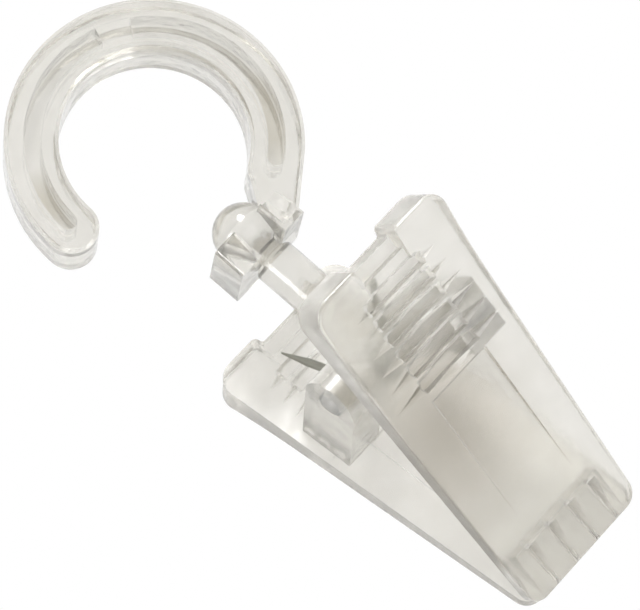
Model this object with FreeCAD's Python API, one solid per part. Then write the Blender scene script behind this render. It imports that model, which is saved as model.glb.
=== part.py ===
import FreeCAD, Part
import math
import os

os.makedirs("parts", exist_ok=True)
V = FreeCAD.Vector
UP = V(0, 0, 1)
ACROSS = V(1, 0, 0)
DEPTH = V(0, 1, 0)
ORIGIN = V(0, 0, 0)

# Cutters run this far past the faces they open
spare = 1.0

# Hook ring: the rod hangs in it along Y
ring_inner = 8.1
ring_outer = 12.7
ring_thick = 5.3
ring_bevel = 0.32
tip_angle = 180.0
shank_inner_angle = -65.0
groove_inner = 9.55
groove_outer = 11.05
groove_web = 0.9
groove_end_angle = -56.0
groove_tip_angle = 177.0
gate_from = 53.0
gate_to = 69.0
gate_sink = 0.12

# Slotted foot that holds the pin's ball
pin_x = -0.45
foot_half = 3.9
foot_top = -10.5
foot_bottom = -13.6
foot_round = 0.5
shank_foot_x = 1.4

# Swivel pin: ball, neck, shaft, flat end and cross bar
ball_r = 2.65
ball_z = -10.55
neck_r = 1.4
shaft_r = 2.0
shaft_chamfer = 0.25
axle_z = -25.95
flat_top = 2.9
flat_left = -0.05
flat_right = 1.6
flat_r = 1.9
bar_r = 1.15
bar_half = 6.65
swivel_clear = 0.1
seat_slope = 30.0
shoulder_clear = 0.15
pivot_clear = 0.05

# Lever: X across, Y inward from the inner face, Z along from the jaw's tip
lever_len = 33.87
jaw_width = 13.8
finger_width = 16.1
jaw_corner = 1.5
finger_corner = 2.0
jaw_thick = 1.2
finger_thick = 2.5
tab_rise = 0.9
tab_rise_run = 9.4
tab_inner_x = 2.5
recess_deep = 0.88
recess_outer_round = 0.48
recess_inner_round = 0.38
lever_round = 0.4
jaw_reach = 23.78
half_open = 19.7
jaw_gap = 0.1

# Finger grip and sunk panel on the outer face
channel_half = 3.4
grip_inset = 3.8
grip_pitch = 1.68
grip_count = 6
grip_deep = 0.9
grip_half = 1.1
grip_reach_low = 6.75
grip_reach_high = 4.9
slot_wide = 1.2
slot_floor = 0.95
end_step_len = 2.1
end_step_floor = 1.6
panel_from = 6.5
panel_gap = 1.5
panel_deep = 0.6

# Jaw lip and its teeth
lip_len = 4.5
tooth_pitch = 2.65
tooth_grooves = 4
tooth_deep = 0.5
tooth_half = 0.6
flute_deep = 0.6

# Ear on the inner face, round the cross bar
ear_inner_x = 2.8
ear_outer_x = 6.7
ear_r = 2.6
ear_root = 0.2

# Steel torsion spring on the cross bar
wire_r = 0.375
coil_r = 1.65
coil_start_x = -2.34
coil_pitch = 0.79
full_turns = 2
wire_steps = 16
wire_sides = 10
leg_inset = 2.9
leg_gap = 0.05

# How the clip leans and turns under the hook
clip_lean = 10.0
clip_turn = 7.0


def polar(radius, degrees):
    angle = math.radians(degrees)
    return V(radius * math.cos(angle), 0, radius * math.sin(angle))


def arc(radius, start, end):
    middle = 0.5 * (start + end)
    return Part.Arc(polar(radius, start), polar(radius, middle), polar(radius, end)).toShape()


def line(a, b):
    return Part.makeLine(a, b)


def solid_from(edges, along):
    return Part.Face(Part.Wire(Part.__sortEdges__(edges))).extrude(along)


def ring_sector(inner, outer, start, end, y_from, y_to):
    edges = [arc(outer, start, end), line(polar(outer, end), polar(inner, end))]
    edges += [arc(inner, end, start), line(polar(inner, start), polar(outer, start))]
    sector = solid_from(edges, V(0, y_to - y_from, 0))
    sector.translate(V(0, y_from, 0))
    return sector


def rounded_outline(corners):
    # Straight runs joined by tangent arcs; each corner is (x, z, radius)
    edges = []
    count = len(corners)
    joins = []
    for i in range(count):
        x, z, radius = corners[i]
        here = V(x, 0, z)
        before = V(corners[i - 1][0], 0, corners[i - 1][1]).sub(here).normalize()
        after = V(corners[(i + 1) % count][0], 0, corners[(i + 1) % count][1]).sub(here).normalize()
        half = 0.5 * before.getAngle(after)
        reach = radius / math.tan(half)
        inward = before.add(after).normalize()
        middle = here.add(inward.multiply(radius / math.sin(half) - radius))
        joins.append((here.add(before.multiply(reach)), middle, here.add(after.multiply(reach))))
    for i in range(count):
        start, middle, end = joins[i]
        edges.append(Part.Arc(start, middle, end).toShape())
        edges.append(line(end, joins[(i + 1) % count][0]))
    return Part.Wire(edges)


def side_prism(points, x_from, x_to):
    # Polygon of (y, z) points drawn out along X
    ring = [V(x_from, y, z) for y, z in points]
    return Part.Face(Part.makePolygon(ring + ring[:1])).extrude(V(x_to - x_from, 0, 0))


def box(x_from, x_to, y_from, y_to, z_from, z_to):
    return Part.makeBox(x_to - x_from, y_to - y_from, z_to - z_from, V(x_from, y_from, z_from))


def plate(z):
    return jaw_thick + (finger_thick - jaw_thick) * z / lever_len


def rise(z):
    run = lever_len - tab_rise_from
    sweep_r = (run * run + tab_rise * tab_rise) / (2.0 * tab_rise)
    reach = max(0.0, z - tab_rise_from)
    return sweep_r - math.sqrt(sweep_r * sweep_r - reach * reach)


def pointed_hollow(at, reach, surface):
    # Four-sided hollow across the grip, deepest in the middle and pointed at both ends
    spread = 1.0 + spare / grip_deep
    low = V(0, grip_deep - surface, at)
    ring = [V(-spread * reach, -spare - surface, at), V(0, -spare - surface, at - spread * grip_half),
            V(spread * reach, -spare - surface, at), V(0, -spare - surface, at + spread * grip_half)]
    faces = [Part.Face(Part.makePolygon(ring + ring[:1]))]
    for k in range(4):
        faces.append(Part.Face(Part.makePolygon([ring[k], ring[(k + 1) % 4], low, ring[k]])))
    return Part.makeSolid(Part.makeShell(faces))


def flute(at):
    # Three-sided flute on the lip, deep at its head and running out to a point at the jaw's end
    spread = 1.0 + spare / flute_deep
    above = -plate(lip_len) - spare
    head = [V(at - spread * tooth_half, above, lip_len), V(at, flute_deep - plate(lip_len), lip_len),
            V(at + spread * tooth_half, above, lip_len)]
    away = spread * lip_len - lip_len
    tail = V(at, -jaw_thick, 0)
    top = V(at, above, -away)
    sides = [[head[0], head[1], head[2]], [head[0], top, head[2]], [head[0], head[1], tail],
             [head[1], head[2], tail], [head[0], tail, top], [head[2], tail, top]]
    faces = [Part.Face(Part.makePolygon(side + side[:1])) for side in sides]
    return Part.makeSolid(Part.makeShell(faces))


tab_rise_from = lever_len - tab_rise_run
grip_first = lever_len - grip_inset - (grip_count - 1) * grip_pitch
panel_to = grip_first - panel_gap
leg_along = lever_len - leg_inset

# Hook
half_thick = 0.5 * ring_thick
foot_corner = V(pin_x + foot_half, 0, foot_bottom)
corner_away = math.hypot(foot_corner.x, foot_corner.z)
tangent_angle = math.degrees(math.atan2(foot_corner.z, foot_corner.x) + math.acos(ring_outer / corner_away))
tip_r = 0.5 * (ring_outer - ring_inner)
tip_centre = polar(0.5 * (ring_outer + ring_inner), tip_angle)
shank_top = V(shank_foot_x, 0, foot_top)
shank_low = V(shank_foot_x, 0, foot_bottom + foot_round)
shank_corner = V(foot_corner.x, 0, foot_corner.z + foot_round)
outline = [arc(ring_outer, tangent_angle, tip_angle)]
outline.append(Part.Arc(polar(ring_outer, tip_angle), tip_centre.add(V(0, 0, -tip_r)),
                        polar(ring_inner, tip_angle)).toShape())
outline.append(arc(ring_inner, tip_angle, shank_inner_angle))
outline.append(line(polar(ring_inner, shank_inner_angle), shank_top))
outline.append(line(shank_top, shank_low))
outline.append(line(shank_low, shank_corner))
outline.append(line(shank_corner, polar(ring_outer, tangent_angle)))
hook = solid_from(outline, V(0, ring_thick, 0))
hook.translate(V(0, -half_thick, 0))
face_edges = []
for edge in hook.Edges:
    ends = [vertex.Point for vertex in edge.Vertexes]
    on_face = all(abs(abs(end.y) - half_thick) < 1e-6 for end in ends)
    above_foot = edge.CenterOfMass.z > foot_top
    if on_face and above_foot:
        face_edges.append(edge)
hook = hook.makeChamfer(ring_bevel, face_edges)

# Foot block, its rounded corners and the sloped faces of the shank's arm
foot = Part.makeBox(2 * foot_half, 2 * foot_half, foot_top - foot_bottom,
                    V(pin_x - foot_half, -foot_half, foot_bottom))
upright = [edge for edge in foot.Edges if abs(edge.tangentAt(edge.FirstParameter).z) > 0.9]
foot = foot.makeFillet(foot_round, upright)
for side in (-1, 1):
    past = side * (foot_half + spare)
    slope = side_prism([(side * foot_half, foot_bottom + foot_round), (side * half_thick, foot_top),
                        (past, foot_top + spare), (past, foot_bottom + foot_round)],
                       shank_foot_x, foot_corner.x + spare)
    foot = foot.cut(slope)
hook = hook.fuse(foot)

# Grooves along both faces, with the flush gate pad on the front one
groove_mid = 0.5 * (groove_inner + groove_outer)
groove_r = 0.5 * (groove_outer - groove_inner)
for side in (-1, 1):
    low = min(side * (half_thick + spare), side * 0.5 * groove_web)
    high = max(side * (half_thick + spare), side * 0.5 * groove_web)
    groove = ring_sector(groove_inner, groove_outer, groove_end_angle, groove_tip_angle, low, high)
    for angle in (groove_end_angle, groove_tip_angle):
        end = polar(groove_mid, angle).add(V(0, low, 0))
        groove = groove.fuse(Part.makeCylinder(groove_r, high - low, end, DEPTH))
    if side < 0:
        pad = ring_sector(groove_inner - spare, groove_outer + spare, gate_from, gate_to,
                          gate_sink - half_thick, high + spare)
        groove = groove.cut(pad)
    hook = hook.cut(groove)

# Cone-shaped ball seat and the slot that the neck snaps into
seat_r = ball_r + swivel_clear
slot_r = neck_r + swivel_clear
ball_centre = V(pin_x, 0, ball_z)
seat_slant = math.radians(seat_slope)
seat_top_r = seat_r / math.cos(seat_slant)
seat_deep = (seat_top_r - neck_r) / math.tan(seat_slant)
seat = Part.makeCone(neck_r, seat_top_r, seat_deep, ball_centre.sub(V(0, 0, seat_deep)), UP)
hook = hook.cut(seat.fuse(Part.makeCylinder(seat_r, seat_r, ball_centre, UP)))
slot_low = foot_bottom - spare
slot_high = foot_top + spare
hook = hook.cut(Part.makeCylinder(slot_r, foot_top - slot_low, V(pin_x, 0, slot_low), UP))
hook = hook.cut(box(pin_x - slot_r, pin_x + slot_r, -foot_half - spare, 0, slot_low, slot_high))
hook = hook.removeSplitter()
hook.exportStep("parts/hook.step")

# Swivel pin, first about its own axis with the cross bar at the origin
shoulder = foot_bottom - shoulder_clear - axle_z
ball_up = ball_z - axle_z
shaft = Part.makeCylinder(shaft_r, shoulder - flat_top, V(0, 0, flat_top), UP)
top_edges = [edge for edge in shaft.Edges if edge.CenterOfMass.z > shoulder - shaft_chamfer]
shaft = shaft.makeChamfer(shaft_chamfer, top_edges)
flat = Part.makeCylinder(shaft_r, flat_top + flat_r, V(0, 0, -flat_r), UP)
flat = flat.common(box(flat_left, flat_right, -shaft_r, shaft_r, -flat_r, flat_top))
eye_end = Part.makeCylinder(flat_r, flat_right - flat_left, V(flat_left, 0, 0), ACROSS)
flat = flat.common(eye_end.fuse(box(flat_left, flat_right, -shaft_r, shaft_r, 0, flat_top)))
bar = Part.makeCylinder(bar_r, 2 * bar_half, V(-bar_half, 0, 0), ACROSS)
pin = Part.makeSphere(ball_r, V(0, 0, ball_up))
pin = pin.fuse(Part.makeCylinder(neck_r, ball_up - shoulder, V(0, 0, shoulder), UP))
pin = pin.fuse([shaft, flat, bar]).removeSplitter()
pin.rotate(ORIGIN, UP, clip_turn)
pin.translate(V(pin_x, 0, axle_z))
pin.exportStep("parts/swivel_pin.step")

# Lever body: outline seen from outside, and the side profile with the tabs' upward sweep
open_angle = math.radians(half_open)
pivot_y = jaw_reach * math.sin(open_angle)
pivot_z = jaw_reach * math.cos(open_angle)
corners = [(-0.5 * jaw_width, 0, jaw_corner), (0.5 * jaw_width, 0, jaw_corner),
           (0.5 * finger_width, lever_len, finger_corner), (tab_inner_x, lever_len, recess_outer_round),
           (tab_inner_x, lever_len - recess_deep, recess_inner_round),
           (-tab_inner_x, lever_len - recess_deep, recess_inner_round),
           (-tab_inner_x, lever_len, recess_outer_round), (-0.5 * finger_width, lever_len, finger_corner)]
block = Part.Face(rounded_outline(corners)).extrude(V(0, -(finger_thick + tab_rise + spare), 0))
sweep_start = V(0, -plate(tab_rise_from), tab_rise_from)
sweep_middle_z = 0.5 * (tab_rise_from + lever_len)
sweep_middle = V(0, -plate(sweep_middle_z) - rise(sweep_middle_z), sweep_middle_z)
sweep_end = V(0, -finger_thick - tab_rise, lever_len)
profile = [line(V(0, 0, 0), V(0, 0, lever_len)), line(V(0, 0, lever_len), sweep_end)]
profile.append(Part.Arc(sweep_end, sweep_middle, sweep_start).toShape())
profile.append(line(sweep_start, V(0, -jaw_thick, 0)))
profile.append(line(V(0, -jaw_thick, 0), V(0, 0, 0)))
side = solid_from(profile, V(finger_width, 0, 0))
side.translate(V(-0.5 * finger_width, 0, 0))
lever = block.common(side)
outer_edges = []
for edge in lever.Edges:
    samples = [edge.valueAt(edge.FirstParameter + k * 0.25 * (edge.LastParameter - edge.FirstParameter))
               for k in range(5)]
    if all(abs(point.y + plate(point.z) + rise(point.z)) < 0.05 for point in samples):
        outer_edges.append(edge)
rim = [edge for edge in outer_edges if abs(edge.tangentAt(edge.FirstParameter).x) < 0.999
       or edge.CenterOfMass.z > lever_len - recess_deep - 0.1 or edge.CenterOfMass.z < 0.1]
lever = lever.makeFillet(lever_round, rim)

# Finger grip: grooves that run out to points on the rails, with a slot along the middle of each
lift = finger_thick + tab_rise + spare
low_end = lever_len + spare
low_cut = side_prism([(-plate(tab_rise_from), tab_rise_from), (-plate(low_end), low_end),
                      (-lift, low_end), (-lift, tab_rise_from)], -tab_inner_x, tab_inner_x)
lever = lever.cut(low_cut)
for i in range(grip_count):
    at = grip_first + i * grip_pitch
    reach = grip_reach_low + (grip_reach_high - grip_reach_low) * i / (grip_count - 1.0)
    lever = lever.cut(pointed_hollow(at, reach, plate(at) + rise(at)))
    lever = lever.cut(box(-channel_half, channel_half, -lift, slot_floor - plate(at),
                          at - 0.5 * slot_wide, at + 0.5 * slot_wide))
lever = lever.cut(box(-tab_inner_x, tab_inner_x, -lift, -end_step_floor, lever_len - end_step_len, low_end))

# Sunk panel, deepest under the grip
lever = lever.cut(side_prism([(-plate(panel_from), panel_from), (panel_deep - plate(panel_to), panel_to),
                              (-lift, panel_to), (-lift, panel_from)], -channel_half, channel_half))

# Jaw lip: a wedge that meets the other jaw on the middle plane, toothed inside and fluted outside
lip_rise = lip_len * math.tan(open_angle)
wedge_width = 0.5 * jaw_width - jaw_corner
lever = lever.fuse(side_prism([(0, 0), (0, lip_len), (lip_rise, lip_len)], -wedge_width, wedge_width))
beyond = box(-jaw_width, jaw_width, -0.5 * jaw_gap, lip_rise + spare, -2 * spare, 2 * lip_len)
for i in range(tooth_grooves):
    at = (i - 0.5 * (tooth_grooves - 1)) * tooth_pitch
    vee = [V(at - tooth_half, -0.5 * jaw_gap, -2 * spare), V(at, -0.5 * jaw_gap - tooth_deep, -2 * spare),
           V(at + tooth_half, -0.5 * jaw_gap, -2 * spare)]
    beyond = beyond.fuse(Part.Face(Part.makePolygon(vee + vee[:1])).extrude(V(0, 0, 2 * (lip_len + spare))))
    lever = lever.cut(flute(at))
beyond.rotate(ORIGIN, ACROSS, -half_open)
lever = lever.cut(beyond)

# Ear with the bore for the cross bar
ear = box(ear_inner_x, ear_outer_x, -ear_root, pivot_y, pivot_z - ear_r, pivot_z + ear_r)
ear = ear.fuse(Part.makeCylinder(ear_r, ear_outer_x - ear_inner_x, V(ear_inner_x, pivot_y, pivot_z), ACROSS))
ear = ear.removeSplitter()
lever = lever.fuse(ear)
lever = lever.cut(Part.makeCylinder(bar_r + pivot_clear, finger_width, V(0, pivot_y, pivot_z), ACROSS))
lever = lever.removeSplitter()
lever.translate(V(0, -pivot_y, -pivot_z))
lever.rotate(ORIGIN, ACROSS, half_open)


def hang(shape):
    # From the clip's own middle plane to its leaning, turned place on the pin
    placed = shape.copy()
    placed.rotate(ORIGIN, ACROSS, clip_lean)
    placed.rotate(ORIGIN, UP, clip_turn)
    placed.translate(V(pin_x, 0, axle_z))
    return placed


hang(lever).exportStep("parts/front_lever.step")
opposite = lever.copy()
opposite.rotate(ORIGIN, UP, 180)
hang(opposite).exportStep("parts/rear_lever.step")

# Spring: two straight legs on the inner faces and a close coil between them
leg_y = pivot_y - wire_r - leg_gap
leg_z = leg_along - pivot_z
foot_y = leg_y * math.cos(open_angle) + leg_z * math.sin(open_angle)
foot_z = leg_z * math.cos(open_angle) - leg_y * math.sin(open_angle)
leg_away = math.hypot(foot_y, foot_z)
leave = math.atan2(foot_y, foot_z) + math.acos(coil_r / leg_away)
turn = 2 * math.pi * full_turns + 2 * (math.pi - leave)
coil_len = coil_pitch * turn / (2 * math.pi)
coil_end_x = coil_start_x + coil_len
rear_foot = V(coil_start_x, foot_y, foot_z)
rear_join = V(coil_start_x, coil_r * math.sin(leave), coil_r * math.cos(leave))
front_foot = V(coil_end_x, -foot_y, foot_z)
front_join = V(coil_end_x, -rear_join.y, rear_join.z)
steps = int(turn / (2 * math.pi) * wire_steps)
centres = [rear_foot]
runs = [rear_join.sub(rear_foot)]
for i in range(steps + 1):
    angle = leave + turn * i / steps
    along = coil_start_x + coil_len * i / steps
    centres.append(V(along, coil_r * math.sin(angle), coil_r * math.cos(angle)))
    runs.append(V(0, math.cos(angle), -math.sin(angle)))
centres.append(front_foot)
runs.append(front_foot.sub(front_join))
sections = []
for centre, run in zip(centres, runs):
    outward = run.cross(ACROSS).normalize()
    ring = []
    for k in range(wire_sides):
        angle = 2 * math.pi * (k + 0.5) / wire_sides
        ring.append(centre.add(V(wire_r * math.cos(angle), 0, 0)).add(outward * (wire_r * math.sin(angle))))
    sections.append(Part.makePolygon(ring + ring[:1]))
spring = Part.makeLoft(sections, True, True)
hang(spring).exportStep("parts/torsion_spring.step")
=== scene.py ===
import math
import bpy
from mathutils import Euler, Matrix, Vector


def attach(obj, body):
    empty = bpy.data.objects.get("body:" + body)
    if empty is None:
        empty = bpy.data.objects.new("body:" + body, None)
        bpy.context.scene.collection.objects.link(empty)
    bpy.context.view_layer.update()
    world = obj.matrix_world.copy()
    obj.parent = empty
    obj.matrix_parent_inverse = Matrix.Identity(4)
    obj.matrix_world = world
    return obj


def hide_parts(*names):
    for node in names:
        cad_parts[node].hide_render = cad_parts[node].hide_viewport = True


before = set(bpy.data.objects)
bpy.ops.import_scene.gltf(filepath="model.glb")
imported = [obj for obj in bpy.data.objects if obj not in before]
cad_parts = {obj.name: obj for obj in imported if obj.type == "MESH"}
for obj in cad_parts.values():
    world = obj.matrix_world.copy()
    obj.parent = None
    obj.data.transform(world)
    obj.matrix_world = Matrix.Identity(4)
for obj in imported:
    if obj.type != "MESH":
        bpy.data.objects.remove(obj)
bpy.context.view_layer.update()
scene = bpy.context.scene
mm = 0.001
fullTurn = 2 * math.pi
white = (1.0, 1.0, 1.0)
print("stage: frame loaded")


def fillNode(tree, node, inputs):
    for key, value in inputs.items():
        if isinstance(value, bpy.types.NodeSocket):
            tree.links.new(value, node.inputs[key])
        else:
            node.inputs[key].default_value = value


def addNode(tree, kind, inputs, operation=None):
    node = tree.nodes.new(kind)
    if operation:
        node.operation = operation
    fillNode(tree, node, inputs)
    return node


def newMaterial(name):
    made = bpy.data.materials.new(name)
    made.use_nodes = True
    return made, made.node_tree, made.node_tree.nodes["Principled BSDF"]


def addObject(name, data):
    made = bpy.data.objects.new(name, data)
    scene.collection.objects.link(made)
    return made


def solid(colour):
    return (*colour, 1.0)


def rampOf(tree, source, stops):
    ramp = addNode(tree, "ShaderNodeValToRGB", {"Fac": source})
    elements = ramp.color_ramp.elements
    elements[0].position = stops[0][0]
    elements[-1].position = stops[-1][0]
    for place, colour in stops[1:-1]:
        elements.new(place)
    for element, (place, colour) in zip(elements, stops):
        element.color = solid(colour)
    return ramp.outputs["Color"]


def spanOf(tree, source, low, high):
    span = addNode(tree, "ShaderNodeMapRange", {"Value": source, "From Min": low, "From Max": high})
    return span.outputs["Result"]


def mixOf(tree, blend, share, first, second):
    mix = tree.nodes.new("ShaderNodeMix")
    mix.data_type = "RGBA"
    mix.blend_type = blend
    fillNode(tree, mix, {"Factor": share, "A": first, "B": second})
    return mix.outputs["Result"]


# Rays that the camera sends straight, and rays that plastic and steel bend
def raysOf(tree):
    rays = addNode(tree, "ShaderNodeLightPath", {}).outputs
    bent = addNode(tree, "ShaderNodeMath", {0: rays["Is Glossy Ray"], 1: rays["Is Transmission Ray"]}, "MAXIMUM")
    return rays["Is Camera Ray"], bent.outputs["Value"]


# Clear moulded plastic with a faint warm tint, slight flow waves and a soft skin; the levers are hazier
plastic = {"ior": 1.49, "waveScale": 420.0, "waveDetail": 2.0, "waveBump": 0.12, "waveDepth": 0.001,
           "toneScale": 420.0, "toneDetail": 3.0, "shadeAt": 0.3, "tintAt": 0.7}
# The floor of the hook's groove gets painted shade near its two ends; the stretch along Y keeps that off the hook's
# faces
grooveEndShade = {"tone": (0.82, 0.80, 0.75), "stretch": (1.0, 3.0, 1.0)}
hookGrade = {"tint": (0.79, 0.776, 0.737), "shade": (0.735, 0.72, 0.676), "clear": 0.91, "rough": 0.17,
             "coat": 0.35, "coatRough": 0.08, "nodes": ("hook", "swivel_pin"),
             "paintedShades": ({**grooveEndShade, "at": (9.1, 0.0, -5.6), "near": 2.5, "far": 5.5},
                      {**grooveEndShade, "at": (-9.8, 0.0, 3.2), "near": 1.5, "far": 3.8})}
leverGrade = {"tint": (0.82, 0.803, 0.76), "shade": (0.765, 0.747, 0.70), "clear": 0.89, "rough": 0.27,
              "coat": 0.15, "coatRough": 0.2, "nodes": ("rear_lever",), "paintedShades": ()}
# Painted shade on the front lever: its panel carries a painted shadow of the parts that lie behind it, its steep side
# walls get painted shade, and its tint is darker than the rear lever's, painted shade on the same plastic
frontGrade = {**leverGrade, "nodes": ("front_lever",), "tint": (0.79, 0.774, 0.735), "shade": (0.735, 0.72, 0.675),
              "paintedShades": ({"tone": (0.70, 0.675, 0.64), "at": (-3.8, -6.0, -35.0), "near": 1.5, "far": 10.5,
                        "stretch": (1.0, 1.0, 1.0)},),
              "wall": (0.28, 0.255, 0.21), "wallTurn": 7.0, "wallFrom": 0.55, "wallFull": 0.97,
              "wallShares": ((-46.5, 0.0), (-45.4, 1.0), (-34.8, 0.8), (-28.5, 0.05), (-26.0, 0.05),
                             (-22.5, 0.4), (-17.0, 0.4))}


# Painted shade: darker round one place of the piece
def paintedShadeTone(tree, coords, colour, dim):
    stretch = addNode(tree, "ShaderNodeVectorMath", {0: coords["Object"], 1: dim["stretch"]}, "MULTIPLY")
    away = addNode(tree, "ShaderNodeVectorMath", {0: stretch.outputs["Vector"], 1: Vector(dim["at"]) * mm}, "DISTANCE")
    reach = spanOf(tree, away.outputs["Value"], dim["near"] * mm, dim["far"] * mm)
    return mixOf(tree, "MULTIPLY", 1.0, colour, rampOf(tree, reach, [(0.0, dim["tone"]), (1.0, white)]))


# Painted shade: darker on walls that face sideways, by a share that changes with the height
def paintedWallShade(tree, coords, colour, grade):
    turn = math.radians(grade["wallTurn"])
    sideways = (math.cos(turn), math.sin(turn), 0.0)
    facing = addNode(tree, "ShaderNodeVectorMath", {0: coords["Normal"], 1: sideways}, "DOT_PRODUCT")
    either = addNode(tree, "ShaderNodeMath", {0: facing.outputs["Value"]}, "ABSOLUTE")
    place = addNode(tree, "ShaderNodeSeparateXYZ", {"Vector": coords["Object"]})
    low, high = grade["wallShares"][0][0], grade["wallShares"][-1][0]
    stops = [((height - low) / (high - low), (share, share, share)) for height, share in grade["wallShares"]]
    band = rampOf(tree, spanOf(tree, place.outputs["Z"], low * mm, high * mm), stops)
    steep = spanOf(tree, either.outputs["Value"], grade["wallFrom"], grade["wallFull"])
    within = addNode(tree, "ShaderNodeMath", {0: steep, 1: band}, "MULTIPLY")
    return mixOf(tree, "MIX", within.outputs["Value"], colour, solid(grade["wall"]))


def plasticMaterial(name, grade):
    made, tree, shader = newMaterial(name + "Plastic")
    coords = addNode(tree, "ShaderNodeTexCoord", {}).outputs
    tone = addNode(tree, "ShaderNodeTexNoise", {"Vector": coords["Object"], "Scale": plastic["toneScale"],
                                                "Detail": plastic["toneDetail"]})
    stops = [(plastic["shadeAt"], grade["shade"]), (plastic["tintAt"], grade["tint"])]
    colour = rampOf(tree, tone.outputs["Fac"], stops)
    # Painted shade spots and painted shade on the side walls go into the base colour
    for dim in grade["paintedShades"]:
        colour = paintedShadeTone(tree, coords, colour, dim)
    if "wall" in grade:
        colour = paintedWallShade(tree, coords, colour, grade)
    wave = addNode(tree, "ShaderNodeTexNoise", {"Vector": coords["Object"], "Scale": plastic["waveScale"],
                                                "Detail": plastic["waveDetail"]})
    bump = addNode(tree, "ShaderNodeBump", {"Strength": plastic["waveBump"], "Distance": plastic["waveDepth"],
                                            "Height": wave.outputs["Fac"]})
    fillNode(tree, shader, {"Base Color": colour, "Normal": bump.outputs["Normal"], "Roughness": grade["rough"],
                            "IOR": plastic["ior"], "Transmission Weight": grade["clear"],
                            "Coat Weight": grade["coat"], "Coat Roughness": grade["coatRough"]})
    return made


for title, grade in (("hook", hookGrade), ("rear", leverGrade), ("front", frontGrade)):
    made = plasticMaterial(title, grade)
    for name in grade["nodes"]:
        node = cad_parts[name]
        node.data.materials.clear()
        node.data.materials.append(made)
print("stage: plastic done")

# Drawn steel wire
steel = {"colour": (0.33, 0.33, 0.29), "roughLow": 0.24, "roughHigh": 0.44, "drawScale": 900.0}
steelMat, tree, shader = newMaterial("springSteel")
coords = addNode(tree, "ShaderNodeTexCoord", {}).outputs
streak = addNode(tree, "ShaderNodeTexNoise", {"Vector": coords["Object"], "Scale": steel["drawScale"]})
rough = addNode(tree, "ShaderNodeMapRange", {"Value": streak.outputs["Fac"], "To Min": steel["roughLow"],
                                             "To Max": steel["roughHigh"]})
fillNode(tree, shader, {"Base Color": solid(steel["colour"]), "Metallic": 1.0, "Roughness": rough.outputs["Result"]})

# Torsion spring: a wire swept along its path, the front leg a piece of its own that turns with the front lever
spring = {"wireR": 0.375, "coilR": 1.65, "startX": -2.34, "pitch": 0.79, "turns": 2, "legAlong": 30.97,
          "legGap": 0.05, "jawReach": 23.78, "halfOpen": 19.7, "lean": 10.0, "turn": 7.0,
          "pin": (-0.45, 0.0, -25.95), "perTurn": 40, "spare": 26.0, "tipLen": 3.4, "tipScale": 0.22,
          "frontStep": 12.0, "frontSteps": 3, "sides": 20}
openAngle = math.radians(spring["halfOpen"])
pivotY = spring["jawReach"] * math.sin(openAngle)
pivotZ = spring["jawReach"] * math.cos(openAngle)
legY = pivotY - spring["wireR"] - spring["legGap"]
legZ = spring["legAlong"] - pivotZ
footY = legY * math.cos(openAngle) + legZ * math.sin(openAngle)
footZ = legZ * math.cos(openAngle) - legY * math.sin(openAngle)
leave = math.atan2(footY, footZ) + math.acos(spring["coilR"] / math.hypot(footY, footZ))
sweep = fullTurn * spring["turns"] + 2 * (math.pi - leave)
coilLen = spring["pitch"] * sweep / fullTurn
endX = spring["startX"] + coilLen
toRow = (Matrix.Translation(Vector(spring["pin"])) @ Matrix.Rotation(math.radians(spring["turn"]), 4, "Z")
         @ Matrix.Rotation(math.radians(spring["lean"]), 4, "X"))


def coilPoint(angle, x):
    return Vector((x, spring["coilR"] * math.sin(angle), spring["coilR"] * math.cos(angle)))


def sweptWire(name, points, tipScale):
    curve = bpy.data.curves.new(name + "Path", "CURVE")
    curve.dimensions = "3D"
    spline = curve.splines.new("POLY")
    spline.points.add(len(points) - 1)
    for slotPoint, point in zip(spline.points, points):
        slotPoint.co = (*((toRow @ point) * mm), 1.0)
    spline.points[0].radius = tipScale
    path = addObject(name + "Path", curve)
    group = bpy.data.node_groups.new(name + "Sweep", "GeometryNodeTree")
    group.interface.new_socket("Geometry", in_out="INPUT", socket_type="NodeSocketGeometry")
    radius = group.interface.new_socket("Wire radius", in_out="INPUT", socket_type="NodeSocketFloat")
    group.interface.new_socket("Geometry", in_out="OUTPUT", socket_type="NodeSocketGeometry")
    source = addNode(group, "NodeGroupInput", {}).outputs
    taper = addNode(group, "GeometryNodeInputRadius", {})
    circle = addNode(group, "GeometryNodeCurvePrimitiveCircle", {"Resolution": spring["sides"],
                                                                 "Radius": source["Wire radius"]})
    tube = addNode(group, "GeometryNodeCurveToMesh", {"Curve": source["Geometry"], "Fill Caps": True,
                                                      "Profile Curve": circle.outputs["Curve"],
                                                      "Scale": taper.outputs["Radius"]})
    realize = addNode(group, "GeometryNodeRealizeInstances", {"Geometry": tube.outputs["Mesh"]})
    paint = addNode(group, "GeometryNodeSetMaterial", {"Geometry": realize.outputs["Geometry"], "Material": steelMat})
    addNode(group, "NodeGroupOutput", {"Geometry": paint.outputs["Geometry"]})
    modifier = path.modifiers.new("sweep", "NODES")
    modifier.node_group = group
    modifier[radius.identifier] = spring["wireR"] * mm
    graph = bpy.context.evaluated_depsgraph_get()
    mesh = bpy.data.meshes.new_from_object(path.evaluated_get(graph))
    bpy.data.objects.remove(path)
    for face in mesh.polygons:
        face.use_smooth = len(face.vertices) == 4
    return addObject(name, mesh)


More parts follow.
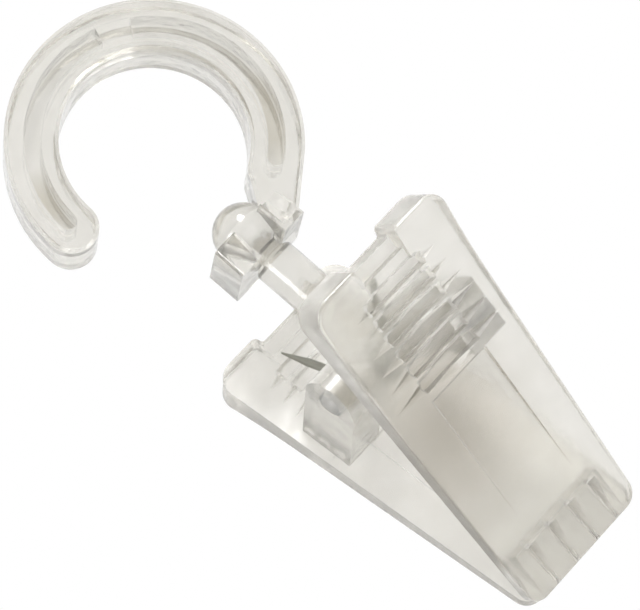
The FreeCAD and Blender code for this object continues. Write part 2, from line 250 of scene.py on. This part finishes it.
steps = int(spring["perTurn"] * sweep / fullTurn)
spareSteps = int(spring["perTurn"] * math.radians(spring["spare"]) / fullTurn)
tip = Vector((spring["startX"], footY, footZ))
legRun = coilPoint(leave, spring["startX"]) - tip
mainPath = [tip, tip + legRun * (spring["tipLen"] / legRun.length)]
for i in range(steps + spareSteps + 1):
    share = i / steps
    mainPath.append(coilPoint(leave + sweep * share, spring["startX"] + coilLen * min(share, 1.0)))
frontStep = math.radians(spring["frontStep"])
frontPath = [coilPoint(leave + sweep - frontStep * k, endX) for k in range(spring["frontSteps"], -1, -1)]
frontPath.append(Vector((endX, -footY, footZ)))
springMain = sweptWire("springCoil", mainPath, spring["tipScale"])
springFront = sweptWire("springFrontLeg", frontPath, 1.0)
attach(springMain, "rear_body")
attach(springFront, "front_body")
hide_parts("torsion_spring")
print("stage: spring done")

# Pale floor far below the hanging clip, white to the camera without lighting the clip
floor = {"half": 1.5, "drop": -0.16, "colour": (0.92, 0.92, 0.91), "rough": 0.8, "glow": 0.45, "bentGlow": 0.25}
corners = [(x * floor["half"], y * floor["half"], floor["drop"]) for x, y in ((-1, -1), (1, -1), (1, 1), (-1, 1))]
floorMesh = bpy.data.meshes.new("floor")
floorMesh.from_pydata(corners, [], [(0, 1, 2, 3)])
floorPiece = addObject("floor", floorMesh)
floorMat, tree, shader = newMaterial("paleFloor")
cameraRay, bentRay = raysOf(tree)
straight = addNode(tree, "ShaderNodeMath", {0: cameraRay, 1: floor["glow"]}, "MULTIPLY")
glow = addNode(tree, "ShaderNodeMath", {0: bentRay, 1: floor["bentGlow"], 2: straight.outputs["Value"]}, "MULTIPLY_ADD")
fillNode(tree, shader, {"Base Color": solid(floor["colour"]), "Roughness": floor["rough"],
                        "Emission Color": solid(floor["colour"]), "Emission Strength": glow.outputs["Value"]})
floorMesh.materials.append(floorMat)

# White world for what the camera sees past the plastic, a graded room in the plastic and a softer light on it
sky = {"seen": 1.0, "light": 0.75, "low": (0.50, 0.48, 0.44), "mid": (0.76, 0.74, 0.70), "midAt": 0.45, "highAt": 0.75}
world = bpy.data.worlds.new("whiteRoom")
scene.world = world
world.use_nodes = True
tree = world.node_tree
tree.nodes.clear()
cameraRay, bentRay = raysOf(tree)
direction = addNode(tree, "ShaderNodeTexCoord", {}).outputs["Generated"]
depth = addNode(tree, "ShaderNodeSeparateXYZ", {"Vector": direction}).outputs["Y"]
stops = [(0.0, sky["low"]), (sky["midAt"], sky["mid"]), (sky["highAt"], white)]
room = rampOf(tree, spanOf(tree, depth, -1.0, 1.0), stops)
seen = addNode(tree, "ShaderNodeBackground", {"Color": solid(white), "Strength": sky["seen"]}).outputs["Background"]
through = addNode(tree, "ShaderNodeBackground", {"Color": room}).outputs["Background"]
light = addNode(tree, "ShaderNodeBackground", {"Strength": sky["light"]}).outputs["Background"]
mixBent = addNode(tree, "ShaderNodeMixShader", {"Fac": bentRay, 1: light, 2: through}).outputs["Shader"]
mixSeen = addNode(tree, "ShaderNodeMixShader", {"Fac": cameraRay, 1: mixBent, 2: seen}).outputs["Shader"]
addNode(tree, "ShaderNodeOutputWorld", {"Surface": mixSeen})

# Two soft lamps: a strong one from the upper right of the picture and a weak one for edge glints
lampAim = Vector((0.0, 0.0, -0.02))
lamps = {"key": {"at": (0.18, -0.35, 0.30), "size": 0.16, "power": 3.2},
         "glint": {"at": (-0.30, -0.22, 0.10), "size": 0.16, "power": 0.8}}
for name, lamp in lamps.items():
    data = bpy.data.lights.new(name, "AREA")
    data.size = lamp["size"]
    data.energy = lamp["power"]
    piece = addObject(name, data)
    piece.location = lamp["at"]
    piece.rotation_euler = (lampAim - Vector(lamp["at"])).to_track_quat("-Z", "Y").to_euler()
print("stage: light done")

# Camera of the photo, rolled so that the pin runs down to the right
shot = {"at": (-96.63, -343.82, -63.98), "turn": (100.793, 48.646, -7.432), "lens": 240.65, "sensor": 36.0,
        "clipStart": 0.01}
cameraData = bpy.data.cameras.new("camera")
cameraData.lens = shot["lens"]
cameraData.sensor_width = shot["sensor"]
cameraData.sensor_fit = "HORIZONTAL"
cameraData.clip_start = shot["clipStart"]
cameraData.dof.use_dof = False
camera = addObject("camera", cameraData)
camera.location = Vector(shot["at"]) * mm
camera.rotation_euler = Euler([math.radians(angle) for angle in shot["turn"]], "XYZ")
scene.camera = camera
scene.view_settings.view_transform = "Standard"
print("stage: camera done")
